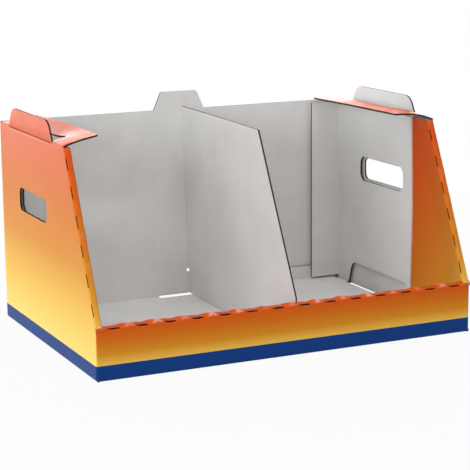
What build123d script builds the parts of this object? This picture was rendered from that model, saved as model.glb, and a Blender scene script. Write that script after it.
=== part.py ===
from build123d import *
from math import hypot
import os

# Whole box, in millimetres: x runs to the right, y to the back, z up from the underside of the floor
width = 400.0
depth = 273.0
wall_height = 208.5
front_height = 49.5
board = 1.8
fold_radius = 0.5

# Clearances between layers that only touch, and how far a cutter overruns
slip = 0.15
rest_gap = 0.4
overrun = 5.0

# Rolled-over rims: the slanted edge of each side, and the top of the front wall
slant_setback = 74.0
side_rim = 7.6
front_rim = 10.0
wing_bend_share = 0.82
wing_gap = 3.5
wing_foot = 17.0
wing_notch_gap = 5.0

# Folding slits along both folds of every rim
slit_length = 12.0
slit_width = 0.9
slit_depth = 7.0
front_slits = 14
front_slit_margin = 18.0
side_slits = 6
side_slit_margin = 17.6

# Stacking tabs, and the slots that take the tabs of the box below
side_tab_back = 31.5
side_tab_taper = 11.0
side_tab_height = 18.5
side_tab_corner = 16.0
back_tab_base = 59.0
back_tab_taper = 8.5
back_tab_height = 19.5
back_tab_corner = 3.0
tab_root = 12.0
crease_height = 1.4
crease_depth = 0.8
side_slot_width = 3.7
slot_slack = 1.0
back_slot_length = 54.0
back_slot_depth = 4.5
back_slot_height = 3.2

# Folded front corners, and the glued flaps that join the back wall to the sides
front_corner_foot = 2.6
front_corner_drop = 2.6
back_corner_gap = 10.5
back_corner_foot = 30.0
back_corner_drop = 5.5
fold_land = 30.0

# Hand holes: the printed side, and the larger one in the liner behind it
hole_lead = 3.75
hole_drop = 71.5
hole_length_share = 0.637
hole_width = 23.5
hole_corner = 7.0
hole_ease = 2.0
hole_end_ease = 3.0

# Liner inside each side, with a return strip in front of the back wall
liner_lap = 34.0
liner_inset = 6.0
liner_leg = 5.0
liner_drop = 2.1
strip_width = 35.0
strip_foot = 6.0
notch_lean = 9.0
notch_top = 27.0
notch_corner = 11.0

# Top flaps, hinged along the tops of the sides and sprung up a little
flap_width = 38.6
flap_start = 0.2
flap_slope = 10.0
flap_inset = 7.0
flap_corner = 2.0
flap_spring = 6.0
window_gap = 1.0
hinge_gap = 0.15

# Divider with a floor pad in the right-hand bay
divider_face = 5.5
divider_setback = 8.4
divider_rise = 3.0
divider_tab_foot = 30.0
divider_tab_head = 73.0
divider_slot_slack = 1.0
divider_slot_foot = 27.0
divider_eye = 2.5
divider_eye_height = 4.0
pad_gap = 2.2
pad_step = 0.6
lip_gap = 13.0
lip_top = 19.0
pad_relief = 8.0

# Planes that several panels share
half = width / 2
front = -depth / 2
back = depth / 2
fold_outside = fold_radius + board
wall_inside = half - board
back_inside = back - board
layer_face = wall_inside - slip
wing_face = layer_face - board
liner_outside = wing_face - slip
rim_back = front + front_rim
slant_foot = front_height + rest_gap
slant_rise = wall_height - slant_foot
slant_length = hypot(slant_setback, slant_rise)
slant_plane = Plane(origin=(0, front, slant_foot), x_dir=(1, 0, 0), z_dir=(0, slant_setback, slant_rise))
hinge_x = half - board / 2
hinge_z = wall_height - board / 2
liner_top = wall_height - liner_drop
pad_floor = board + slip
liner_front = slant_setback + liner_lap
liner_back = depth - liner_inset
side_tab_end = depth - side_tab_back
side_tab_base = side_tab_end - liner_front
side_tab_top = side_tab_base - 2 * side_tab_taper
side_tab_middle = liner_front + side_tab_base / 2
hole_middle = side_tab_middle - hole_lead
hole_height = wall_height - hole_drop
hole_length = side_tab_base * hole_length_share
liner_hole_length = hole_length + 2 * hole_end_ease
back_corner_length = depth - hole_middle - liner_hole_length / 2 - back_corner_gap
back_corner_top = wall_height - back_corner_drop
front_corner_top = front_height - front_corner_drop
notch_front = liner_front + liner_leg
notch_back = side_tab_end + slot_slack
wing_bend = liner_lap * wing_bend_share
wing_back = hole_middle - liner_hole_length / 2 - wing_gap
flap_front = slant_setback + flap_start
flap_toe = flap_front + flap_slope
flap_back = depth - flap_inset
divider_tab_top = wall_height - divider_tab_head
divider_slot_top = divider_tab_top + divider_slot_slack
pad_edge = liner_outside - board - pad_gap
lip_left = back_slot_length / 2 + lip_gap
lip_right = pad_edge - pad_step


def along_x(face, low, high):
    """Extrude a face drawn in (y, z) from x = low to x = high."""
    return extrude(Plane.YZ.offset(low) * face, amount=high - low)


def along_y(face, low, high):
    """Extrude a face drawn in (x, z) from y = low to y = high."""
    return extrude(Plane.XZ.offset(-high) * face, amount=high - low)


def along_z(face, low, high):
    """Extrude a face drawn in (x, y) from z = low to z = high."""
    return extrude(Plane.XY.offset(low) * face, amount=high - low)


def block(x_span, y_span, z_span):
    """Box between two values on each axis."""
    spans = (x_span, y_span, z_span)
    middles = [(low + high) / 2 for low, high in spans]
    sizes = [high - low for low, high in spans]
    return Pos(*middles) * Box(*sizes)


def sheet(points, left):
    """Section of bent board: its face runs through the points, with the board to the left or the right."""
    toward = 1 if left else -1
    corners = [Vector(*point) for point in points]
    ways = [(end - start).normalized() for start, end in zip(corners, corners[1:])]
    inward = [Vector(-way.Y, way.X) * toward for way in ways]
    other = [corners[0] + inward[0] * board]
    face_radii = []
    other_radii = []
    for number, corner in enumerate(corners[1:-1]):
        before = inward[number]
        after = inward[number + 1]
        other.append(corner + (before + after) * (board / (1 + before.dot(after))))
        convex = ways[number].cross(ways[number + 1]).Z * toward > 0
        face_radii.append(fold_outside if convex else fold_radius)
        other_radii.append(fold_radius if convex else fold_outside)
    other.append(corners[-1] + inward[-1] * board)
    outline = [
        *FilletPolyline(*corners, radius=face_radii).edges(),
        Line(corners[-1], other[-1]),
        *FilletPolyline(*other, radius=other_radii).edges(),
        Line(corners[0], other[0]),
    ]
    return make_face(outline)


def polygon(*points):
    """Flat face with straight edges."""
    return make_face(Polyline(*points, close=True))


def rectangle(across, upright):
    """Flat face between two values on each of its axes."""
    low = upright[0]
    high = upright[1]
    return polygon((across[0], low), (across[1], low), (across[1], high), (across[0], high))


def tab_face(middle, base, top, foot, shoulder, head, corner):
    """Tab drawn upright: straight up to its shoulder, then tapered, with both upper corners rounded."""
    face = polygon(
        (middle - base / 2, foot),
        (middle + base / 2, foot),
        (middle + base / 2, shoulder),
        (middle + top / 2, head),
        (middle - top / 2, head),
        (middle - base / 2, shoulder),
    )
    return fillet(face.vertices().sort_by(Axis.Y)[-2:], corner)


def both_sides(piece):
    """A right-hand piece together with its mirror image."""
    return [piece, mirror(piece, about=Plane.YZ)]


def ahead_of_slant(setback):
    """Space in front of the slanted edge, moved back by a setback."""
    low = front + setback
    reach_share = 2
    high = low + slant_setback * reach_share
    return along_x(
        polygon(
            (front - depth, slant_foot),
            (low, slant_foot),
            (high, slant_foot + slant_rise * reach_share),
            (front - depth, slant_foot + slant_rise * reach_share),
        ),
        -width,
        width,
    )


def floor_front_back():
    """Floor, rolled-over front wall and back wall as one bent strip, cut to width wall by wall."""
    points = [
        (rim_back, board + rest_gap),
        (rim_back, front_height),
        (front, front_height),
        (front, 0),
        (back, 0),
        (back, wall_height),
    ]
    strip = along_x(sheet(points, True), -half, half)
    low = fold_outside
    high = wall_height + overrun
    through = (-overrun, fold_outside)
    ends = (layer_face, half + overrun)
    corners = (half - fold_outside - slip, half + overrun)
    inner_ends = (wing_face - rest_gap, half + overrun)
    front_folds = (half - fold_land, half + overrun)
    back_folds = (layer_face - fold_land, half + overrun)
    trims = [
        block((half - fold_land, half + overrun), (front + fold_outside, back - fold_outside), through),
        block(corners, (front - overrun, back + overrun), through),
        block(ends, (front - overrun, rim_back + overrun), (low, high)),
        block(ends, (back_inside - overrun, back + overrun), (low, high)),
        block(inner_ends, (rim_back - fold_outside, rim_back + overrun), (board, high)),
        block(front_folds, (front - overrun, front + fold_outside), (front_corner_foot, front_corner_top)),
        block(back_folds, (back - fold_outside, back + overrun), (back_corner_foot, back_corner_top)),
    ]
    for trim in trims:
        strip = strip - both_sides(trim)
    return strip


def corners():
    """Fold between the front wall and a side, and the glued flap that turns from the back wall into it."""
    front_points = [(half - fold_land, front), (half, front), (half, front + fold_land)]
    back_start = layer_face - fold_land
    back_points = [(back_start, back), (layer_face, back), (layer_face, back - back_corner_length)]
    front_fold = along_z(sheet(front_points, True), front_corner_foot, front_corner_top)
    back_flap = along_z(sheet(back_points, False), back_corner_foot, back_corner_top)
    return [front_fold, back_flap]


def hinge_seat():
    """Round groove along the top of a side, open above, in which the hinge edge of the top flap turns."""
    hinge_run = (front + slant_setback - overrun, front + flap_back + rest_gap)
    seat_inside = wall_inside - overrun
    seat_outside = half + overrun
    seat_head = wall_height + overrun
    inner_low = hinge_z - board / 2 - 2 * hinge_gap
    outer_low = hinge_z - board / 4
    inner_step = rectangle((seat_inside, hinge_x), (inner_low, seat_head))
    outer_step = rectangle((hinge_x, seat_outside), (outer_low, seat_head))
    groove = Pos(hinge_x, hinge_z) * Circle(board / 2 + hinge_gap)
    return along_y(inner_step + outer_step + groove, *hinge_run)


def side_wall():
    """Side panel folded up from the floor, with its rolled rim, wing, hinge groove, tab and hand hole."""
    points = [(half - fold_land, 0), (half, 0), (half, wall_height)]
    wall = along_y(sheet(points, True), front, back) - ahead_of_slant(fold_land / 2)
    for low, high in ((front - overrun, front + fold_outside), (back - fold_outside, back + overrun)):
        wall = wall - block((0, half - fold_outside), (low, high), (-overrun, fold_outside))
    corner = (front_corner_foot, front_corner_top)
    wall = wall - block((half - fold_land, half + overrun), (front - overrun, front + fold_land), corner)
    for piece in slanted_rim():
        wall = wall + piece
    tab = tab_face(
        front + side_tab_middle,
        side_tab_base,
        side_tab_top,
        wall_height - tab_root,
        wall_height,
        wall_height + side_tab_height,
        side_tab_corner,
    )
    wall = wall - hinge_seat() + along_x(tab, wall_inside, half)
    crease = block(
        (half - crease_depth, half + overrun),
        (front + side_tab_middle - side_tab_base / 2, front + side_tab_middle + side_tab_base / 2),
        (hinge_z - crease_height, hinge_z),
    )
    return wall - crease - hand_hole(hole_length, hole_width, hole_corner)


def hand_hole(length, height, corner):
    """Round-cornered hole through one side."""
    face = Pos(front + hole_middle, hole_height) * RectangleRounded(length, height, corner)
    return along_x(face, half - side_rim - overrun, half + overrun)


def slanted_rim():
    """Rim rolled over the slanted edge, and the printed wing that tucks in behind the liner."""
    points = [
        (half, fold_land),
        (half, 0),
        (half - side_rim, 0),
        (wing_face, wing_bend),
        (wing_face, depth),
    ]
    roll = extrude(slant_plane * sheet(points, False), amount=slant_length * 2, both=True)
    top = liner_top - slip
    inside = half - side_rim - overrun
    run = (front - overrun, front + liner_front)
    panel = roll & block((wall_inside, half + overrun), run, (slant_foot, wall_height))
    rim = roll & block((inside, half + overrun), run, (slant_foot, top))
    wing_toe = rim_back + rest_gap
    wing_rear_foot = notch_top + wing_notch_gap
    wing_outline = polygon(
        (wing_toe, wing_foot),
        (front + liner_front, wing_foot),
        (front + notch_front, wing_rear_foot),
        (front + wing_back, wing_rear_foot),
        (front + wing_back, top),
        (front - overrun, top),
        (front - overrun, slant_foot),
        (wing_toe, slant_foot),
    )
    wing = roll & along_x(wing_outline, inside, layer_face + slip / 2)
    return [panel, rim, wing]


def rim_slits():
    """Slits along both folds of the front rim and of the slanted rims."""
    cutters = []
    front_pitch = (width - 2 * front_slit_margin) / (front_slits - 1)
    side_pitch = (slant_length - 2 * side_slit_margin) / (side_slits - 1)
    for number in range(front_slits):
        place = (number - (front_slits - 1) / 2) * front_pitch
        for fold, turn in ((front, 45), (rim_back, -45)):
            slit = Rot(X=turn) * Box(slit_length, slit_width, slit_depth)
            cutters.append(Pos(place, fold, front_height) * slit)
    for number in range(side_slits):
        place = slant_length / 2 + (number - (side_slits - 1) / 2) * side_pitch
        for fold, turn in ((half, 45), (half - side_rim, -45)):
            slit = Pos(fold, 0, place) * Rot(Z=turn) * Box(slit_width, slit_depth, slit_length)
            cutters.extend(both_sides(slant_plane.location * slit))
    return cutters


def stacking_slots():
    """Slots in the floor folds for the tabs of the box below."""
    side_slot = block(
        (wall_inside - side_slot_width, wall_inside),
        (front + liner_front - slot_slack, front + side_tab_end + slot_slack),
        (-overrun, fold_outside),
    )
    back_slot = block(
        (-back_slot_length / 2, back_slot_length / 2),
        (back_inside - back_slot_depth, back + overrun),
        (-overrun, back_slot_height),
    )
    return [*both_sides(side_slot), back_slot]


def make_tray():
    """The printed blank folded up into a tray."""
    tray = floor_front_back()
    for piece in (*corners(), side_wall()):
        tray = tray + both_sides(piece)
    back_tab = tab_face(
        0,
        back_tab_base,
        back_tab_base - 2 * back_tab_taper,
        wall_height - tab_root,
        wall_height,
        wall_height + back_tab_height,
        back_tab_corner,
    )
    tray = tray + along_y(back_tab, back_inside, back)
    divider_slot = block(
        (divider_face - slip, divider_face + board + slip),
        (back_inside - overrun, back + overrun),
        (divider_slot_foot, divider_slot_top),
    )
    divider_eye_hole = block(
        (divider_face - divider_eye, divider_face + board),
        (back_inside - overrun, back + overrun),
        (divider_slot_foot, divider_slot_foot + divider_eye_height),
    )
    return tray - stacking_slots() - divider_slot - divider_eye_hole - rim_slits()


def make_liner():
    """Unprinted right-hand liner with its return strip, hand hole and foot notch."""
    points = [
        (liner_outside, front + liner_front),
        (liner_outside, front + liner_back),
        (liner_outside - board - strip_width, front + liner_back),
    ]
    liner = along_z(sheet(points, True), pad_floor, liner_top)
    strip_trim = block(
        (0, liner_outside - fold_outside),
        (front + liner_back - fold_outside, back),
        (0, strip_foot),
    )
    notch = polygon(
        (front + notch_front, 0),
        (front + notch_back, 0),
        (front + notch_back - notch_lean, notch_top),
        (front + notch_front, notch_top),
    )
    notch = fillet(notch.vertices().sort_by(Axis.Y)[-2:], notch_corner)
    liner = liner - strip_trim - along_x(notch, liner_outside - board - overrun, half)
    return liner - hand_hole(liner_hole_length, hole_width + 2 * hole_ease, hole_corner + hole_ease)


def make_flap():
    """Right-hand top flap, cut out around the stacking tab and swung up about its hinge."""
    edge = hinge_x - flap_width + board / 2
    outline = polygon(
        (hinge_x, front + flap_front),
        (edge, front + flap_toe),
        (edge, front + flap_back),
        (hinge_x, front + flap_back),
    )
    outline = fillet(outline.vertices().sort_by(Axis.X)[:2], flap_corner)
    flap = along_z(outline, hinge_z - board / 2, hinge_z + board / 2)
    hinge_edge = along_y(Pos(hinge_x, hinge_z) * Circle(board / 2), front + flap_front, front + flap_back)
    window = tab_face(
        front + side_tab_middle,
        side_tab_base + 2 * window_gap,
        side_tab_top + 2 * window_gap,
        -board,
        0,
        side_tab_height + window_gap + board / 2,
        side_tab_corner,
    )
    window_plane = Plane(origin=(hinge_x, 0, wall_height - tab_root), x_dir=(0, 1, 0), z_dir=(0, 0, 1))
    flap = flap + hinge_edge - extrude(window_plane * window, amount=tab_root * 2)
    return flap.rotate(Axis((hinge_x, 0, hinge_z), (0, 1, 0)), flap_spring)


def make_divider():
    """Unprinted divider with its floor pad, upturned rear lip and the tab that keys into the back wall."""
    head = wall_height + divider_rise
    points = [(divider_face, head), (divider_face, pad_floor), (pad_edge, pad_floor)]
    rear = back_inside - slip
    bent = along_y(sheet(points, True), rim_back + rest_gap, rear)
    above = polygon((front, wall_height), (front + slant_setback, wall_height), (rear, head), (front, head))
    bent = bent - ahead_of_slant(divider_setback) - along_x(above, 0, half)
    relief_front = back_inside - pad_relief
    trims = [
        block((divider_face + fold_outside, lip_left), (relief_front, back), (0, lip_top)),
        block((lip_left, width), (rear - fold_outside, back), (0, lip_top)),
        block((lip_right, width), (front + liner_front, back), (0, lip_top)),
    ]
    for trim in trims:
        bent = bent - trim
    lip_points = [(rear - fold_land, pad_floor), (rear, pad_floor), (rear, lip_top)]
    lip = along_x(sheet(lip_points, True), lip_left, lip_right)
    tab = block(
        (divider_face, divider_face + board), (rear - overrun, back), (divider_tab_foot, divider_tab_top)
    )
    return bent + lip + tab


def save(piece, name):
    """Write one node."""
    export_step(piece, os.path.join("parts", name + ".step"))


os.makedirs("parts", exist_ok=True)
save(make_tray(), "tray")
save(make_divider(), "divider")
right_liner = make_liner()
right_flap = make_flap()
save(right_liner, "right_liner")
save(mirror(right_liner, about=Plane.YZ), "left_liner")
save(right_flap, "right_top_flap")
save(mirror(right_flap, about=Plane.YZ), "left_top_flap")
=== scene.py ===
"""Looks of the display box: printed tray with crumpled rims, plain liners and divider, sprung flaps."""

import math
import random

import bmesh
import bpy
from mathutils import Matrix, Vector, noise


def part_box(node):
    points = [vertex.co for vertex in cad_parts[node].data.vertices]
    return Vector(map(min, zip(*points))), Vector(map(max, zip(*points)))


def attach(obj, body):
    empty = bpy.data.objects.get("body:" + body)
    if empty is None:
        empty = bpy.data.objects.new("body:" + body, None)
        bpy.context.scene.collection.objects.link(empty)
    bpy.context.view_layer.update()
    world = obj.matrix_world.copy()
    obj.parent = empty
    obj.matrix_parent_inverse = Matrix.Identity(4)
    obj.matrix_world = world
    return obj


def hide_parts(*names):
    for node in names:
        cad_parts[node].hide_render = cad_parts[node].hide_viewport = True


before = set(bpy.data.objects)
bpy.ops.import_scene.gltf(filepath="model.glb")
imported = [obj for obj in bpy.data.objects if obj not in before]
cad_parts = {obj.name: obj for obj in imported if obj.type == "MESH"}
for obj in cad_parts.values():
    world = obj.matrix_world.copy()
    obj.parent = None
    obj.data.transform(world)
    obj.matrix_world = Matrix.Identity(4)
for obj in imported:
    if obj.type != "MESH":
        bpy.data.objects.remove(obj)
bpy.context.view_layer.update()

# Sizes in metres, read from the frame where it has them
tray_low, tray_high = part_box("tray")
half_width = tray_high.x
front = tray_low.y
back = tray_high.y
flap_low, flap_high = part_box("right_top_flap")
divider_low, divider_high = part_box("divider")
wall_top = 0.2085
front_top = 0.0495
board = 0.0018
slant_setback = 0.074
slant_foot = 0.0499
side_rim = 0.0076
front_rim = 0.0100
slit_length = 0.0120
front_slits = 14
front_slit_margin = 0.018
side_slits = 6
side_slit_margin = 0.0176

# Print: a blue band at the foot of each wall, and a field that runs from yellow up to red
band_top = 0.015
bleed_under_floor = 0.006
bare_share = -1.0
band_share = -0.05
stop_gap_share = 0.002
wing_lead_share = 0.12
front_start_share = 0.22
field_shares = (-0.5, 1.5)
bare_colour = (226, 224, 216)
band_colour = (16, 60, 128)
# Pale colour of the rim creases: partly worn, cracked ink and partly a painted highlight of gloss on the
# crumples
worn_and_highlight_colour = (255, 205, 186)
field_colours = [
    (0.00, (246, 220, 118)),
    (0.22, (235, 189, 78)),
    (0.45, (213, 140, 37)),
    (0.70, (208, 112, 25)),
    (1.00, (209, 84, 18)),
    (1.50, (212, 64, 16)),
]
print_mottle = 0.02
print_mottle_scale = 260.0
print_mottle_detail = 5.0
# Noise that breaks the pale crease lines of worn ink and painted highlight into streaks
streak_scale = 500.0
streak_detail = 4.0
streak_low_share = 0.4
noise_spread = (0.3, 0.7)
varnish_rough = 0.42
varnish_vary = 0.04
varnish_scale = 60.0
varnish_detail = 2.0
varnish_index = 1.5
varnish_gloss = 0.08

# Board: flutes, plain liner paper and cut edges
flute_pitch = 0.0034
washboard_height = 0.0001
washboard_strength = 0.06
flute_strength = 0.18
flute_shade = 0.02
plain_light = (229, 229, 228)
plain_dark = (220, 220, 218)
cloud_scale = 22.0
cloud_detail = 4.0
fibre_scale = 900.0
fibre_detail = 3.0
fibre_spread = (0.35, 0.65)
fibre_vary = 0.03
paper_rough = 0.85
paper_gloss = 0.25
# Cut edge colours; the hollows between the flutes are painted shade
flute_hollow_shade_colour = (27, 22, 19)
medium_colour = (76, 60, 48)
liner_colour = (94, 84, 75)
liner_share = 0.07
core_share = 0.5
flute_low_share = 0.2
flute_high_share = 0.8
flute_wall_share = 0.06
ragged_vary = 0.35

# Mesh detail
weld_gap = 1e-6
panel_step = 0.012
flap_step = 0.006
rim_step = 0.0014
rim_cross_step = 0.00125
rim_skirt = 0.003
flat_angle = math.radians(0.6)
fold_angle = math.radians(40)
crease_angle = math.radians(38)

# Parts of a unit normal that tell which way a face looks
flap_turn = 0.3
turning = 0.5
facing = 0.7
squarely = 0.99

# Material places on every piece
PRINTED = 0
PLAIN = 1
CUT = 2

# How far the panels bow, and where
side_bows = {1: 0.0016, -1: 0.0006}
back_bow = 0.0007
divider_bow = 0.0010
ripple = 0.00018
ripple_scale = 14.0
side_zone = 0.150
side_zone_ease = 0.040
back_zone = 0.025
back_zone_ease = 0.012
standing_height = 0.080

# Divider: its lean, its foot fold pressed into the corner, and the crushed free edge of its floor pad
divider_zone = 0.012
divider_foot_shift = 0.0050
divider_head_shift = -0.0020
foot_fold = 0.0023
foot_square_share = 0.85
pad_draw = 0.0025
pad_press = 0.0009
pad_press_run = 0.0060
pad_press_step = 0.0010

# Floor slots beside the sides, whose inner edges are pushed back by the tabs that go in
slot_edge = 0.1945
slot_near = 0.0002
slot_push = 0.0030
slot_run = (-0.030, 0.107)

# Crumples and gaping slits of the rims
crumple_seed = 11
front_bump = 0.0018
front_dome = 0.0007
front_gape = 0.0009
side_bump = 0.0003
side_dome = 0.0003
side_gape = 0.0005
bump_shares = (0.6, 1.25)
skew_shares = (0.25, 0.75)
opening_shares = (0.7, 1.2)
bridge_middle_share = 0.5
bridge_spread_share = 0.95
ridge_sharpness = 0.9
second_ridge_share = 0.7
second_ridge_place_share = 0.55
knot_lead_share = 0.5
# Pale crease lines on the ridges, worn ink and partly a painted highlight: width, strength, fade below the
# fold, and strength on the front and side rims
wear_and_highlight_width_share = 0.42
wear_and_highlight_shares = (0.2, 0.9)
wear_and_highlight_drop = 0.0016
front_wear_and_highlight = 1.0
side_wear_and_highlight = 0.12
lip_reach = 0.0025
lip_lift_share = 1.0
lip_lead_share = 0.3
lip_sink_share = 0.35
lip_drop_share = 0.6

# Folded front corners, whose top edges stand close under the rim's end
corner_reach = 0.0045
corner_low = 0.0420
corner_high = 0.0470
corner_lift = 0.0020

# Reach of the inked crease at the foot of a tab
crease_reach = 0.0020

# Spring of the top flaps: lift of the free edge at its front, middle and rear
flap_lifts = {"left_top_flap": (0.0030, 0.0030, 0.0012), "right_top_flap": (0.0019, 0.0012, 0.0)}

# Arch across each flap at its front strip and beside its window, and where the second comes in and fades
flap_arches = {"left_top_flap": (0.0008, -0.0055), "right_top_flap": (0.0024, 0.0042)}
flap_rise_shares = {"left_top_flap": (0.10, 0.45), "right_top_flap": (0.0, 0.12)}
flap_fade_shares = {"left_top_flap": (0.60, 0.92), "right_top_flap": (0.65, 1.0)}

# Where a flap's arch starts, clear of the round fold, and the power that moves its crown to the fold
arch_start_share = 0.06
arch_power = 0.75

# Camera, floor and light
camera_place = (-0.6879, -1.4968, 0.4325)
camera_azimuth = 24.79
camera_elevation = 11.62
camera_roll = -0.57
camera_lens = 125.7
camera_sensor = 36.0
bright_way = (-0.45, -0.3, 0.82)
world_dim = 0.15
world_bright = 0.75
floor_size = 12.0
floor_tone = 0.65
floor_white_shares = (0.93, 1.0)
floor_fade = (0.3, 1.0)

# Lamps: name, place, width and height, and power
lamps = [
    ("side", (-1.2, 1.5, 0.15), (1.6, 0.3), 13.0),
    ("rear", (0.6, 2.2, 0.6), (2.4, 0.6), 34.0),
    ("corner", (-1.7, -1.05, 0.66), (1.0, 0.6), 12.5),
    ("top", (-0.2, -0.7, 2.0), (1.5, 1.5), 10.5),
]

slant = Vector((0, slant_setback, wall_top - slant_foot))
slant_length = slant.length
slant_way = slant.normalized()
slant_up = Vector((0, -slant_way.z, slant_way.y))


# Mesh helpers


def board_mesh(node, is_printed, skins=2):
    """Welded copy of a CAD node's mesh: its largest sheets are skins, and the rest is cut edge."""
    bm = bmesh.new()
    bm.from_mesh(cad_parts[node].data)
    bmesh.ops.remove_doubles(bm, verts=bm.verts, dist=weld_gap)
    bm.normal_update()
    for number, sheet in enumerate(smooth_sheets(bm)):
        skin = PLAIN if number < skins else CUT
        if any(is_printed(face) for face in sheet):
            skin = PRINTED
        for face in sheet:
            face.material_index = skin
    return bm


def smooth_sheets(bm):
    """Groups of faces that run on smoothly over folds, largest first."""
    left = set(bm.faces)
    sheets = []
    while left:
        sheet = [left.pop()]
        for face in sheet:
            for edge in face.edges:
                if edge.calc_face_angle(math.pi) > fold_angle:
                    continue
                for other in edge.link_faces:
                    if other in left:
                        left.discard(other)
                        sheet.append(other)
        sheets.append(sheet)
    return sorted(sheets, key=lambda sheet: -sum(face.calc_area() for face in sheet))


def join_flat(bm):
    """Merge the triangles of each flat panel."""
    bmesh.ops.dissolve_limit(
        bm,
        angle_limit=flat_angle,
        verts=bm.verts,
        edges=bm.edges,
        delimit={"MATERIAL"},
    )


def slice_faces(bm, faces, way, places):
    """Cut faces by parallel planes, and return the faces that they became."""
    ahead = set(faces)
    done = set()
    for place in places:
        crossing = set()
        for face in list(ahead):
            spread = [vert.co.dot(way) for vert in face.verts]
            if max(spread) <= place:
                ahead.discard(face)
                done.add(face)
            elif min(spread) < place:
                ahead.discard(face)
                crossing.add(face)
        if not crossing:
            continue
        geom = set(crossing)
        for face in crossing:
            geom.update(face.edges)
            geom.update(face.verts)
        cut = bmesh.ops.bisect_plane(
            bm, geom=list(geom), dist=weld_gap, plane_co=way * place, plane_no=way
        )
        ahead.update(item for item in cut["geom"] if isinstance(item, bmesh.types.BMFace))
    return ahead | done


def steps(low, high, step):
    """Evenly spaced places strictly between two ends."""
    count = max(1, round((high - low) / step))
    return [low + (high - low) * number / count for number in range(1, count)]


def grid(bm, low, high, step):
    """Cut a whole mesh by a square grid."""
    faces = set(bm.faces)
    for axis in range(3):
        way = Vector([1.0 if number == axis else 0.0 for number in range(3)])
        faces = slice_faces(bm, faces, way, steps(low[axis], high[axis], step))


def finish_mesh(bm, name, slots):
    """Turn a bmesh into a piece with smooth panels and sharp cut edges."""
    big = [face for face in bm.faces if len(face.verts) > 4]
    bmesh.ops.triangulate(bm, faces=big)
    mesh = bpy.data.meshes.new(name)
    bm.to_mesh(mesh)
    bm.free()
    for material in slots:
        mesh.materials.append(material)
    mesh.shade_smooth()
    mesh.set_sharp_from_angle(angle=crease_angle)
    piece = bpy.data.objects.new(name, mesh)
    bpy.context.scene.collection.objects.link(piece)
    weigh = piece.modifiers.new("even_panels", "WEIGHTED_NORMAL")
    weigh.mode = "FACE_AREA"
    weigh.keep_sharp = True
    return piece


# Easing curves


def smooth(value):
    """Ease from 0 to 1."""
    held = min(1.0, max(0.0, value))
    return held * held * (3 - 2 * held)


def ramp(value, low, high):
    """Ease from 0 at one end to 1 at the other."""
    return smooth((value - low) / (high - low))


def hump(value, low, high):
    """Smooth bump between two ends, where it is zero."""
    share = min(1.0, max(0.0, (value - low) / (high - low)))
    return math.sin(math.pi * share) ** 2


# Shape of the bent board


def beside_divider(place):
    """1 on the standing panel of the divider, easing to 0 beside it."""
    return 1 - smooth(abs(place.x - divider_low.x) / divider_zone)


def bow(place):
    """How far the panels around a point stand off their flat planes. Folds stay straight."""
    rise = hump(place.z, 0, wall_top)
    run = hump(place.y, front, back)
    width_hump = hump(place.x, -half_width, half_width)
    near_side = smooth((abs(place.x) - side_zone) / side_zone_ease)
    near_back = smooth((place.y - back + back_zone) / back_zone_ease)
    near_divider = beside_divider(place)
    outward = 1 if place.x > 0 else -1
    standing = smooth(place.z / standing_height)
    rough = noise.noise(place * ripple_scale) * ripple * standing
    sideways = near_side * rise * run * side_bows[outward] * outward
    sideways += near_divider * standing * run * divider_bow
    sideways += rough * max(near_side * rise, near_divider)
    backward = near_back * rise * width_hump * back_bow + rough * near_back * rise
    return Vector((sideways, backward, 0))


def divider_lean(place):
    """How far the divider, and the slot that it keys into, lean over to one side."""
    rise_share = place.z / wall_top
    shift = divider_foot_shift * (1 - rise_share) + divider_head_shift * rise_share
    return Vector((beside_divider(place) * shift, 0, 0))


def foot_square(place):
    """How far the divider's foot fold is pressed into the corner of the floor."""
    middle = divider_low + Vector((foot_fold, 0, foot_fold))
    off = Vector((place.x - middle.x, 0, place.z - middle.z))
    longest = max(abs(off.x), abs(off.z))
    if off.x > 0 or off.z > 0 or longest == 0:
        return Vector((0, 0, 0))
    return off * ((off.length / longest - 1) * foot_square_share)


def corner_rise(place):
    """How far the top edge of a folded front corner is drawn up to the rim's end."""
    near = half_width - abs(place.x) < corner_reach and place.y - front < corner_reach
    if not near or place.z > corner_high:
        return Vector((0, 0, 0))
    return Vector((0, 0, corner_lift * ramp(place.z, corner_low, corner_high)))


def slot_shape(place):
    """How far the inner edge of a floor slot beside a side is pushed back."""
    on_edge = abs(abs(place.x) - slot_edge) < slot_near and place.z < board + slot_near
    if not on_edge or not slot_run[0] < place.y < slot_run[1]:
        return Vector((0, 0, 0))
    return Vector((math.copysign(slot_push, -place.x), 0, 0))


def pad_shape(place):
    """How far the free edge of the divider's floor pad is crushed and drawn back from the floor slot."""
    edge = ramp(place.x, divider_high.x - pad_press_run, divider_high.x)
    low = 1 - ramp(place.z, 3 * board, 4 * board)
    top = ramp(place.z, divider_low.z, divider_low.z + board)
    return Vector((-pad_draw * edge * low, 0, -pad_press * edge * low * top))


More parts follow.
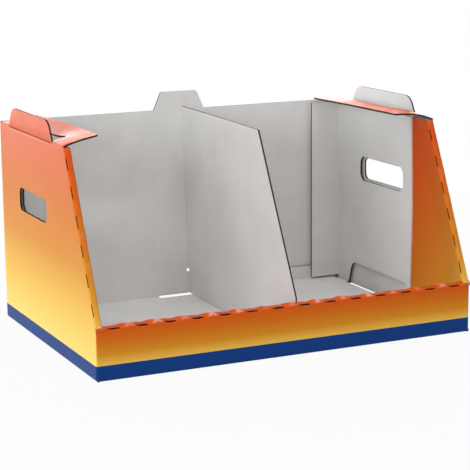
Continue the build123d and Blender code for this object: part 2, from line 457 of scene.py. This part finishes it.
class Rim:
    """Rolled-over edge with slits along both folds, crumpled where the board bridges between them."""

    def __init__(self, origin, along, inward, up, width, places, height, dome, opening, wear_and_highlight):
        self.origin = origin
        self.along = along
        self.inward = inward
        self.up = up
        self.width = width
        self.places = places
        self.dome = dome
        self.pitch = places[1] - places[0]
        self.bridge = (self.pitch - slit_length) / 2
        self.heights = [height * random.uniform(*bump_shares) for _ in range(len(places) + 1)]
        self.skews = [random.uniform(*skew_shares) for _ in range(len(places) + 1)]
        self.openings = [opening * random.uniform(*opening_shares) for _ in places]
        # Strength of the pale crease lines, worn ink and painted highlight, for each bridge
        self.wear_and_highlight_levels = [wear_and_highlight * random.uniform(*wear_and_highlight_shares) for _ in range(len(places) + 1)]

    def local(self, place):
        """Distances along the rim, across it from its outer fold, and up from its face."""
        offset = place - self.origin
        return offset.dot(self.along), offset.dot(self.inward), offset.dot(self.up)

    def holds(self, place):
        """Whether a point is on the rim or just below it."""
        run, across, rise = self.local(place)
        low = self.places[0] - self.pitch
        high = self.places[-1] + self.pitch
        inside = -board < across < self.width + board
        return inside and -rim_skirt < rise < board and low < run < high

    def push(self, place):
        """How far the crumpled board at a point stands off the neat fold."""
        if not self.holds(place):
            return Vector((0, 0, 0))
        run, across, rise = self.local(place)
        return self.bump(run, across, rise) + self.lens(run, across, rise)

    def creases(self, run, across):
        """Number of the nearest bridge between two slits, and how far a point is off its two ridges."""
        number = math.floor((run - self.places[0]) / self.pitch) + 1
        number = min(len(self.heights) - 1, max(0, number))
        middle = self.places[0] + (number - 1 + bridge_middle_share) * self.pitch
        lean = self.skews[number] * (2 * across / self.width - 1)
        spot = (run - middle) / (self.bridge * bridge_spread_share)
        return number, spot + lean, spot - lean - second_ridge_place_share * self.skews[number]

    def bump(self, run, across, rise):
        """Domed strip, and pinched ridges where the board bridges between two slits."""
        number, first, second = self.creases(run, across)
        ridge = max(0.0, 1 - abs(first)) ** ridge_sharpness
        other = max(0.0, 1 - abs(second)) ** ridge_sharpness * second_ridge_share
        fade = smooth(1 + rise / rim_skirt)
        height = self.heights[number] * max(ridge, other)
        knot = self.inward * (height * knot_lead_share * (1 - 2 * across / self.width))
        dome = self.dome * hump(across, 0, self.width)
        return (self.up * (height + dome) - knot) * fade

    def wear_and_highlight(self, place):
        """How far the print is rubbed and cracked along the ridges, and painted with a highlight there."""
        if not self.holds(place):
            return 0.0
        run, across, rise = self.local(place)
        number, first, second = self.creases(run, across)
        line = max(1 - abs(first) / wear_and_highlight_width_share, 1 - abs(second) / wear_and_highlight_width_share)
        return max(0.0, line) * self.wear_and_highlight_levels[number] * smooth(1 + rise / wear_and_highlight_drop)

    def lens(self, run, across, rise):
        """Slit lips that gape: the rim's lip lifts, and the wall's lip drops."""
        number = round((run - self.places[0]) / self.pitch)
        if not 0 <= number < len(self.places):
            return Vector((0, 0, 0))
        spot = (run - self.places[number]) / (slit_length / 2)
        gape = self.openings[number] * max(0.0, 1 - spot * spot)
        outer = across < self.width / 2
        from_fold = across if outer else self.width - across
        toward = self.inward if outer else -self.inward
        side = rise + from_fold
        reach = math.exp(-abs(side) / lip_reach)
        if side > 0:
            return (self.up * lip_lift_share - toward * lip_lead_share) * (gape * reach)
        return (toward * lip_sink_share - self.up * lip_drop_share) * (gape * reach)


def front_rim_shape():
    """Rim along the top of the front wall."""
    pitch = (2 * half_width - 2 * front_slit_margin) / (front_slits - 1)
    places = [(number - (front_slits - 1) / 2) * pitch for number in range(front_slits)]
    return Rim(
        origin=Vector((0, front, front_top)),
        along=Vector((1, 0, 0)),
        inward=Vector((0, 1, 0)),
        up=Vector((0, 0, 1)),
        width=front_rim,
        places=places,
        height=front_bump,
        dome=front_dome,
        opening=front_gape,
        wear_and_highlight=front_wear_and_highlight,
    )


def side_rim_shape(side):
    """Rim along the slanted edge of one side."""
    pitch = (slant_length - 2 * side_slit_margin) / (side_slits - 1)
    places = [side_slit_margin + number * pitch for number in range(side_slits)]
    return Rim(
        origin=Vector((side * half_width, front, slant_foot)),
        along=slant_way,
        inward=Vector((-side, 0, 0)),
        up=slant_up,
        width=side_rim,
        places=places,
        height=side_bump,
        dome=side_dome,
        opening=side_gape,
        wear_and_highlight=side_wear_and_highlight,
    )


def refine_rim(bm, rim):
    """Cut the faces of a rim finely enough for its crumples."""
    faces = {face for face in bm.faces if any(rim.holds(spot) for spot in face_spots(face))}
    cuts = [
        (rim.along, steps(rim.places[0] - rim.pitch, rim.places[-1] + rim.pitch, rim_step)),
        (rim.inward, steps(0, rim.width, rim_cross_step)),
        (rim.up, steps(-rim_skirt, 0, rim_cross_step)),
    ]
    for way, places in cuts:
        base = rim.origin.dot(way)
        faces = slice_faces(bm, faces, way, [base + place for place in places])


def face_spots(face):
    """Centre, corners and edge middles of a face."""
    spots = [face.calc_center_median()]
    for edge in face.edges:
        first, last = (vert.co for vert in edge.verts)
        spots += [first, (first + last) / 2]
    return spots


# Where each point of the flat sheet lies in the print and on the flutes


def unrolled_height(place):
    """Height that a point of a side, its rim or its wing had on the flat blank."""
    behind = max(0.0, -(place - Vector((0, front, slant_foot))).dot(slant_up))
    turned_in = half_width - abs(place.x)
    return place.z + slant_way.y * (2 * behind + turned_in)


def side_share(height):
    """Place in the colour field of a side: 0 at the top of the band, 1 at the top of the wall."""
    return max(0.0, (height - band_top) / (wall_top - band_top))


def front_share(place, normal):
    """Place in the colour field of the front wall, followed over its rim and down inside."""
    if normal.y > turning:
        height = 2 * front_top + front_rim - place.z
    else:
        height = place.z + (place.y - front)
    share = max(0.0, (height - band_top) / (front_top - band_top))
    return front_start_share + (1 - front_start_share) * share


def tray_share(face, place):
    """Place of a tray point in its panel's colour field."""
    middle = face.calc_center_median()
    normal = face.normal
    if normal.z < -facing and middle.z < board / 2:
        inset = min(half_width - abs(place.x), place.y - front, back - place.y)
        return bare_share if inset > bleed_under_floor else band_share
    if middle.z < band_top:
        return band_share
    on_front = abs(normal.x) < facing and middle.y < front + front_rim + board
    if on_front and middle.z < front_top + board / 4:
        return front_share(place, normal)
    outside = abs(middle.x) > half_width - board / 2
    if outside or middle.y > back - 2 * board:
        return side_share(place.z)
    return side_share(unrolled_height(place)) + wing_lead_share


def tray_flutes(normal):
    """Direction across the flutes of a tray panel."""
    return Vector((0, 0, 1)) if abs(normal.x) > facing else Vector((1, 0, 0))


def liner_flutes(normal):
    """Direction across the upright flutes of a liner."""
    return Vector((0, 1, 0)) if abs(normal.x) > facing else Vector((1, 0, 0))


def divider_flutes(normal):
    """Direction across the flutes of the divider, its pad and its lip."""
    return Vector((0, 0, 1)) if abs(normal.y) > facing else Vector((0, 1, 0))


def flap_flutes(normal):
    """Direction across the flutes of a top flap."""
    return Vector((1, 0, 0))


def write_sheet(bm, share_of, flutes_of, wear_and_highlight_of=None):
    """Store on each face corner its place in the print, across the flutes and in the cut edge, and how
    strongly its crease carries worn ink and painted highlight.
    """
    share_layer = bm.loops.layers.float.new("print_share")
    flute_layer = bm.loops.layers.float.new("flute_run")
    edge_layer = bm.loops.layers.float.new("edge_depth")
    wear_and_highlight_layer = bm.loops.layers.float.new("crease_wear_and_highlight")
    for face in bm.faces:
        if face.material_index == CUT:
            write_cut(face, flutes_of, flute_layer, edge_layer)
            continue
        across = flutes_of(face.normal)
        for loop in face.loops:
            loop[flute_layer] = loop.vert.co.dot(across)
            if face.material_index == PRINTED:
                loop[share_layer] = share_of(face, loop.vert.co)
                if wear_and_highlight_of:
                    loop[wear_and_highlight_layer] = wear_and_highlight_of(loop.vert.co)


def write_cut(face, flutes_of, flute_layer, edge_layer):
    """Depth below the skin and run across the flutes, for one face of a cut edge."""
    skin = None
    for edge in face.edges:
        for other in edge.link_faces:
            if other.material_index != CUT and (skin is None or edge.calc_length() > skin[0]):
                skin = (edge.calc_length(), other.normal, edge.verts[0].co)
    if skin is None:
        skin = (0, Vector((0, 0, 1)), face.verts[0].co)
    _, out, start = skin
    across = flutes_of(out)
    crossed = abs(face.normal.cross(out).dot(across)) > turning
    for loop in face.loops:
        loop[edge_layer] = (start - loop.vert.co).dot(out)
        loop[flute_layer] = loop.vert.co.dot(across) if crossed else 0.0


# Materials


def paint(red, green, blue):
    """Linear colour from screen values of 0 to 255, by the sRGB curve."""
    levels = []
    for value in (red, green, blue):
        level = value / 255
        levels.append(level / 12.92 if level <= 0.04045 else ((level + 0.055) / 1.055) ** 2.4)
    return (*levels, 1.0)


class Shader:
    """Small helper around a material's node tree."""

    def __init__(self, name):
        self.material = bpy.data.materials.new(name)
        self.material.use_nodes = True
        self.tree = self.material.node_tree
        self.surface = self.tree.nodes["Principled BSDF"]

    def node(self, kind, **values):
        """New node with its plain settings."""
        made = self.tree.nodes.new(kind)
        for name, value in values.items():
            setattr(made, name, value)
        return made

    def join(self, output, socket):
        """Link two sockets."""
        self.tree.links.new(output, socket)

    def feed(self, socket, value):
        """Link an output to a socket, or set a plain value on it."""
        if isinstance(value, bpy.types.NodeSocket):
            self.join(value, socket)
        else:
            socket.default_value = value

    def attribute(self, name):
        """Value stored on the mesh."""
        return self.node("ShaderNodeAttribute", attribute_name=name).outputs["Fac"]

    def sum(self, kind, first, second=0.0):
        """Arithmetic on one or two values."""
        made = self.node("ShaderNodeMath", operation=kind)
        for socket, value in zip(made.inputs, (first, second)):
            self.feed(socket, value)
        return made.outputs[0]

    def noise(self, scale, detail):
        """Noise in the object's own space."""
        made = self.node("ShaderNodeTexNoise")
        made.inputs["Scale"].default_value = scale
        made.inputs["Detail"].default_value = detail
        place = self.node("ShaderNodeTexCoord").outputs["Object"]
        self.join(place, made.inputs["Vector"])
        return made.outputs["Fac"]

    def ramp(self, value, stops):
        """Colours along a value from 0 to 1."""
        made = self.node("ShaderNodeValToRGB")
        points = made.color_ramp.elements
        while len(points) < len(stops):
            points.new(1.0)
        for point, (place, colour) in zip(points, stops):
            point.position = place
            point.color = colour
        self.join(value, made.inputs["Fac"])
        return made.outputs["Color"]

    def mix(self, share, first, second, kind="MIX"):
        """Blend of two colours, whose sockets come after the node's number and vector ones."""
        made = self.node("ShaderNodeMix", data_type="RGBA", blend_type=kind)
        self.feed(made.inputs[0], share)
        self.feed(made.inputs[6], first)
        self.feed(made.inputs[7], second)
        return made.outputs[2]

    def range(self, value, low, high, new_low, new_high):
        """Map a value from one range to another."""
        made = self.node("ShaderNodeMapRange")
        for socket, item in zip(made.inputs, (value, low, high, new_low, new_high)):
            self.feed(socket, item)
        return made.outputs[0]

    def bump(self, height, strength, distance):
        """Small relief on the surface."""
        made = self.node("ShaderNodeBump")
        made.inputs["Strength"].default_value = strength
        made.inputs["Distance"].default_value = distance
        self.join(height, made.inputs["Height"])
        self.join(made.outputs["Normal"], self.surface.inputs["Normal"])

    def wave(self, run, pitch):
        """Sine of a stored run, with the pitch of the flutes."""
        return self.sum("SINE", self.sum("MULTIPLY", run, 2 * math.pi / pitch))


def print_stops():
    """Colours of the print along its field: bare board, the band, then yellow to red."""
    low, high = field_shares
    band = paint(*band_colour)
    band_end = -low / (high - low) - stop_gap_share
    stops = [(0.0, paint(*bare_colour)), (stop_gap_share, band), (band_end, band)]
    for share, colour in field_colours:
        stops.append(((share - low) / (high - low), paint(*colour)))
    return stops


def printed_material():
    """Varnished offset print: colour field over a blue band, with faint washboarding, and pale rim creases
    that are worn ink and partly a painted highlight.
    """
    shader = Shader("printed_board")
    share = shader.attribute("print_share")
    colour = shader.ramp(shader.range(share, *field_shares, 0.0, 1.0), print_stops())
    speckle = shader.noise(print_mottle_scale, print_mottle_detail)
    mottle = shader.range(speckle, *noise_spread, 1 - print_mottle, 1 + print_mottle)
    toned = shader.mix(1.0, colour, mottle, "MULTIPLY")
    # Pale rim creases: worn ink, and partly a painted highlight, broken into streaks
    streaks = shader.range(shader.noise(streak_scale, streak_detail), *noise_spread, streak_low_share, 1.0)
    wear_and_highlight = shader.sum("MULTIPLY", shader.attribute("crease_wear_and_highlight"), streaks)
    worn_and_highlighted = shader.mix(wear_and_highlight, toned, paint(*worn_and_highlight_colour))
    shader.join(worn_and_highlighted, shader.surface.inputs["Base Color"])
    rough_ends = (varnish_rough - varnish_vary, varnish_rough + varnish_vary)
    rough = shader.range(shader.noise(varnish_scale, varnish_detail), *noise_spread, *rough_ends)
    shader.join(rough, shader.surface.inputs["Roughness"])
    shader.surface.inputs["IOR"].default_value = varnish_index
    shader.surface.inputs["Specular IOR Level"].default_value = varnish_gloss
    wash = shader.wave(shader.attribute("flute_run"), flute_pitch)
    shader.bump(wash, washboard_strength, washboard_height)
    return shader.material


def plain_material():
    """Unprinted grey-white liner paper, with fibres and faint flute lines."""
    shader = Shader("plain_board")
    cloud = shader.range(shader.noise(cloud_scale, cloud_detail), *noise_spread, 0.0, 1.0)
    fibre_noise = shader.noise(fibre_scale, fibre_detail)
    fibre = shader.range(fibre_noise, *fibre_spread, 1 - fibre_vary, 1 + fibre_vary)
    wash = shader.wave(shader.attribute("flute_run"), flute_pitch)
    lines = shader.range(wash, -1.0, 1.0, 1 - flute_shade, 1.0)
    base = shader.mix(cloud, paint(*plain_dark), paint(*plain_light))
    toned = shader.mix(1.0, base, shader.sum("MULTIPLY", fibre, lines), "MULTIPLY")
    shader.join(toned, shader.surface.inputs["Base Color"])
    shader.surface.inputs["Roughness"].default_value = paper_rough
    shader.surface.inputs["Specular IOR Level"].default_value = paper_gloss
    shader.bump(wash, flute_strength, washboard_height)
    return shader.material


def cut_material():
    """Cut edge of the board: two papers with the darker fluted middle between them, whose hollows are
    painted shade.
    """
    shader = Shader("cut_edge")
    depth_share = shader.sum("DIVIDE", shader.attribute("edge_depth"), board)
    wave = shader.wave(shader.attribute("flute_run"), flute_pitch)
    flute = shader.range(wave, -1.0, 1.0, flute_low_share, flute_high_share)
    off_flute = shader.sum("ABSOLUTE", shader.sum("SUBTRACT", depth_share, flute))
    medium = shader.range(off_flute, flute_wall_share, 2 * flute_wall_share, 1.0, 0.0)
    off_core = shader.sum("ABSOLUTE", shader.sum("SUBTRACT", depth_share, core_share))
    liner = shader.range(off_core, core_share - 2 * liner_share, core_share - liner_share, 0.0, 1.0)
    # The flute hollows get the painted shade colour, the flute walls the medium colour
    inner = shader.mix(medium, paint(*flute_hollow_shade_colour), paint(*medium_colour))
    both = shader.mix(liner, inner, paint(*liner_colour))
    fibre_noise = shader.noise(fibre_scale, fibre_detail)
    ragged = shader.range(fibre_noise, *fibre_spread, 1 - ragged_vary, 1.0)
    toned = shader.mix(1.0, both, ragged, "MULTIPLY")
    shader.join(toned, shader.surface.inputs["Base Color"])
    shader.surface.inputs["Roughness"].default_value = paper_rough
    shader.surface.inputs["Specular IOR Level"].default_value = paper_gloss
    return shader.material


# Pieces


def on_outside(face):
    """Whether a face is on the outside of the front wall or of a side."""
    middle = face.calc_center_median()
    faces_front = face.normal.y < -squarely and middle.y < front + board / 4
    faces_side = face.normal.x * middle.x > 0 and abs(face.normal.x) > squarely
    on_front = faces_front and abs(middle.x) < half_width - 2 * board
    on_side = faces_side and abs(middle.x) > half_width - board / 4
    return on_front or on_side


def is_inked(face):
    """Whether a small cut face lies in the print: at a tab's foot, a rim's end or a front corner's top."""
    middle = face.calc_center_median()
    inset = half_width - abs(middle.x)
    crease = inset < board / 2 and abs(middle.z - wall_top) < crease_reach
    ahead = middle.y < front + slant_setback + corner_reach
    rim_end = ahead and inset < side_rim + board and middle.z > wall_top - corner_reach
    corner = inset < corner_reach and middle.y < front + corner_reach and middle.z > corner_low
    return crease or rim_end or corner


def never(face):
    """No face of an unprinted piece is printed."""
    return False


def make_tray(slots):
    """The printed tray, with its crumpled rims."""
    bm = board_mesh("tray", on_outside)
    for face in bm.faces:
        if face.material_index == CUT and is_inked(face):
            face.material_index = PRINTED
    join_flat(bm)
    slice_faces(bm, set(bm.faces), Vector((0, 0, 1)), [band_top])
    grid(bm, tray_low, tray_high, panel_step)
    rims = [front_rim_shape(), side_rim_shape(1), side_rim_shape(-1)]
    for rim in rims:
        refine_rim(bm, rim)
    write_sheet(bm, tray_share, tray_flutes, lambda place: max(rim.wear_and_highlight(place) for rim in rims))
    for vert in bm.verts:
        move = bow(vert.co)
        if vert.co.y > 0:
            move = move + divider_lean(vert.co)
        move = move + corner_rise(vert.co) + slot_shape(vert.co)
        for rim in rims:
            move = move + rim.push(vert.co)
        vert.co = vert.co + move
    return finish_mesh(bm, "printed_tray", slots)


def make_plain(node, name, flutes_of, slots):
    """An unprinted piece. The front edge of a liner is covered with paper."""
    bm = board_mesh(node, never)
    low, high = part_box(node)
    for face in bm.faces:
        at_front = face.calc_center_median().y < low.y + board
        if node != "divider" and at_front and face.normal.y < -facing:
            face.material_index = PLAIN
    join_flat(bm)
    grid(bm, low, high, panel_step)
    if node == "divider":
        runs = steps(high.x - pad_press_run, high.x, pad_press_step)
        slice_faces(bm, set(bm.faces), Vector((1, 0, 0)), runs)
    write_sheet(bm, None, flutes_of)
    for vert in bm.verts:
        move = bow(vert.co)
        if node == "divider":
            move = move + divider_lean(vert.co) + pad_shape(vert.co) + foot_square(vert.co)
        vert.co = vert.co + move
    return finish_mesh(bm, name, slots)


def flap_share(face, place):
    """Place of a flap point in the colour field, which runs on from the top of the side."""
    return side_share(wall_top + half_width - abs(place.x))


def flap_twist(node, place):
    """How far a flap is sprung off its flat plane, most at its free edge."""
    out = (half_width - abs(place.x)) / (flap_high.x - flap_low.x)
    run = (place.y - flap_low.y) / (flap_high.y - flap_low.y)
    front_lift, middle_lift, rear_lift = flap_lifts[node]
    to_middle = smooth(2 * run)
    to_rear = smooth(2 * run - 1)
    lift = front_lift * (1 - to_middle) + middle_lift * (to_middle - to_rear) + rear_lift * to_rear
    front_arch, window_arch = flap_arches[node]
    rise = ramp(run, *flap_rise_shares[node])
    fade = ramp(run, *flap_fade_shares[node])
    arch = front_arch * (1 - rise) + window_arch * rise * (1 - fade)
    way = min(1.0, max(0.0, (out - arch_start_share) / (1 - arch_start_share)))
    across = math.sin(math.pi * way ** arch_power)
    return Vector((0, 0, out * lift + arch * across))


def make_flap(node, name, slots):
    """A printed top flap."""
    bm = board_mesh(node, never, skins=1)
    for face in bm.faces:
        if face.material_index == PLAIN and face.normal.z > -flap_turn:
            face.material_index = PRINTED
    join_flat(bm)
    low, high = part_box(node)
    grid(bm, low, high, flap_step)
    write_sheet(bm, flap_share, flap_flutes)
    for vert in bm.verts:
        vert.co = vert.co + flap_twist(node, vert.co)
    return finish_mesh(bm, name, slots)


def dress_box():
    """All pieces, each on its body."""
    slots = [printed_material(), plain_material(), cut_material()]
    rows = [(make_tray(slots), "tray", "tray", "printed_board")]
    for side in ("left", "right"):
        liner = make_plain(f"{side}_liner", f"{side}_plain_liner", liner_flutes, slots)
        rows.append((liner, f"{side}_liner", "tray", "plain_board"))
    divider = make_plain("divider", "plain_divider", divider_flutes, slots)
    rows.append((divider, "divider", "tray", "plain_board"))
    for side in ("left", "right"):
        flap = make_flap(f"{side}_top_flap", f"{side}_printed_flap", slots)
        rows.append((flap, f"{side}_top_flap", f"{side}_flap", "printed_flap"))
    for piece, node, body, slot in rows:
        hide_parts(node)
        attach(piece, body)


# Stage


def make_camera():
    """Camera at the photograph's viewing angle."""
    azimuth = math.radians(camera_azimuth)
    elevation = math.radians(camera_elevation)
    roll = math.radians(camera_roll)
    forward = Vector(
        (
            math.sin(azimuth) * math.cos(elevation),
            math.cos(azimuth) * math.cos(elevation),
            -math.sin(elevation),
        )
    )
    level_right = forward.cross(Vector((0, 0, 1))).normalized()
    level_up = level_right.cross(forward)
    right = level_right * math.cos(roll) + level_up * math.sin(roll)
    up = level_up * math.cos(roll) - level_right * math.sin(roll)
    data = bpy.data.cameras.new("camera")
    data.lens = camera_lens
    data.sensor_width = camera_sensor
    camera = bpy.data.objects.new("camera", data)
    turn = Matrix((right, up, -forward)).transposed().to_4x4()
    camera.matrix_world = Matrix.Translation(camera_place) @ turn
    bpy.context.scene.collection.objects.link(camera)
    bpy.context.scene.camera = camera


def seen_ray(tree):
    """1 for rays that show the background: from the camera, in gloss and through glass."""
    path = tree.nodes.new("ShaderNodeLightPath")
    seen = path.outputs["Is Camera Ray"]
    for kind in ("Is Glossy Ray", "Is Transmission Ray"):
        larger = tree.nodes.new("ShaderNodeMath")
        larger.operation = "MAXIMUM"
        tree.links.new(seen, larger.inputs[0])
        tree.links.new(path.outputs[kind], larger.inputs[1])
        seen = larger.outputs[0]
    return seen


def make_world():
    """White surround, with a plain level of soft light."""
    world = bpy.data.worlds.new("studio")
    bpy.context.scene.world = world
    world.use_nodes = True
    tree = world.node_tree
    light = tree.nodes["Background"]
    light.inputs["Color"].default_value = (1, 1, 1, 1)
    toward = tree.nodes.new("ShaderNodeVectorMath")
    toward.operation = "DOT_PRODUCT"
    toward.inputs[1].default_value = Vector(bright_way).normalized()
    tree.links.new(tree.nodes.new("ShaderNodeTexCoord").outputs["Generated"], toward.inputs[0])
    soft = tree.nodes.new("ShaderNodeMapRange")
    for socket, value in zip(soft.inputs[1:5], (-1.0, 1.0, world_dim, world_bright)):
        socket.default_value = value
    tree.links.new(toward.outputs["Value"], soft.inputs["Value"])
    level = tree.nodes.new("ShaderNodeMapRange")
    level.inputs["To Max"].default_value = 1.0
    tree.links.new(seen_ray(tree), level.inputs["Value"])
    tree.links.new(soft.outputs[0], level.inputs["To Min"])
    tree.links.new(level.outputs[0], light.inputs["Strength"])


def make_floor():
    """White floor that keeps the box's shadow."""
    bpy.ops.mesh.primitive_plane_add(size=floor_size, location=(0, 0, 0))
    floor = bpy.context.object
    floor.name = "floor"
    shader = Shader("floor")
    shader.surface.inputs["Base Color"].default_value = (floor_tone, floor_tone, floor_tone, 1)
    shader.surface.inputs["Roughness"].default_value = 1.0
    shader.surface.inputs["Specular IOR Level"].default_value = 0.0
    glow = shader.node("ShaderNodeEmission")
    blend = shader.node("ShaderNodeMixShader")
    out = shader.node("ShaderNodeVectorMath", operation="LENGTH")
    shader.join(shader.node("ShaderNodeTexCoord").outputs["Object"], out.inputs[0])
    white = shader.range(out.outputs["Value"], *floor_fade, *floor_white_shares)
    shader.join(shader.sum("MULTIPLY", seen_ray(shader.tree), white), blend.inputs[0])
    shader.join(shader.surface.outputs[0], blend.inputs[1])
    shader.join(glow.outputs[0], blend.inputs[2])
    shader.join(blend.outputs[0], shader.tree.nodes["Material Output"].inputs["Surface"])
    floor.data.materials.append(shader.material)


def make_lamp(name, place, size, power):
    """Soft lamp, with its width and height, that looks at the box."""
    data = bpy.data.lights.new(name, "AREA")
    data.shape = "RECTANGLE"
    data.size, data.size_y = size
    data.energy = power
    lamp = bpy.data.objects.new(name, data)
    lamp.location = place
    aim = Vector((0, 0, wall_top / 2)) - Vector(place)
    lamp.rotation_euler = aim.to_track_quat("-Z", "Y").to_euler()
    bpy.context.scene.collection.objects.link(lamp)


random.seed(crumple_seed)
bpy.context.scene.view_settings.view_transform = "Standard"
dress_box()
make_camera()
make_world()
make_floor()
for lamp in lamps:
    make_lamp(*lamp)
